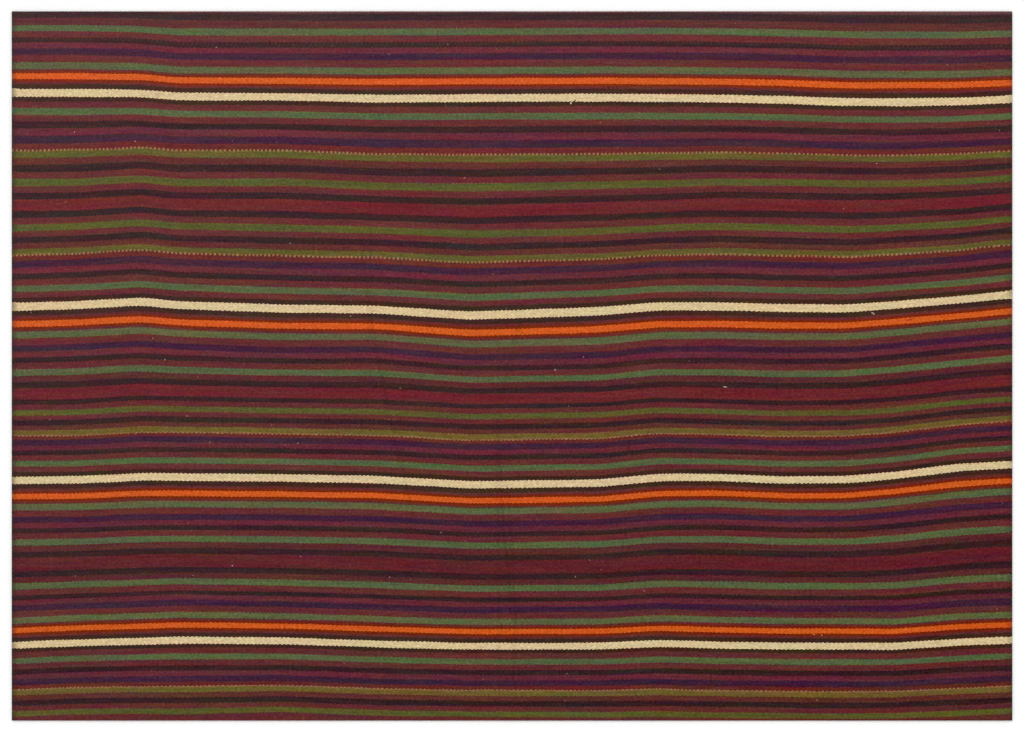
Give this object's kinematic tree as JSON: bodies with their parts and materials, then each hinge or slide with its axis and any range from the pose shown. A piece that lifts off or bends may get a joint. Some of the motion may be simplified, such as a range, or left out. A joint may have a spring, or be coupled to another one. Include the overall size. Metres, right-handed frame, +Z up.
{
  "type": "kilim rug",
  "caption": "Flat-woven wool kilim rug with cross stripes, a thin flat floor covering that lies loose on any level surface.",
  "frame": {"origin": "centre of the flat underside, on the surface that the rug lies on", "axes": "+X along the stripes (the wefts), from selvedge to selvedge; +Y along the warps, towards the end that starts the first stripe block; +Z up"},
  "size_m": [1.7, 1.205, 0.0049],
  "materials": {
    "woven_wool": "matte weft-faced wool, striped in madder red, walnut brown, olive and moss green, purple, orange and cream"
  },
  "bodies": {
    "root": {"rug": "woven_wool"}
  },
  "joints": []
}
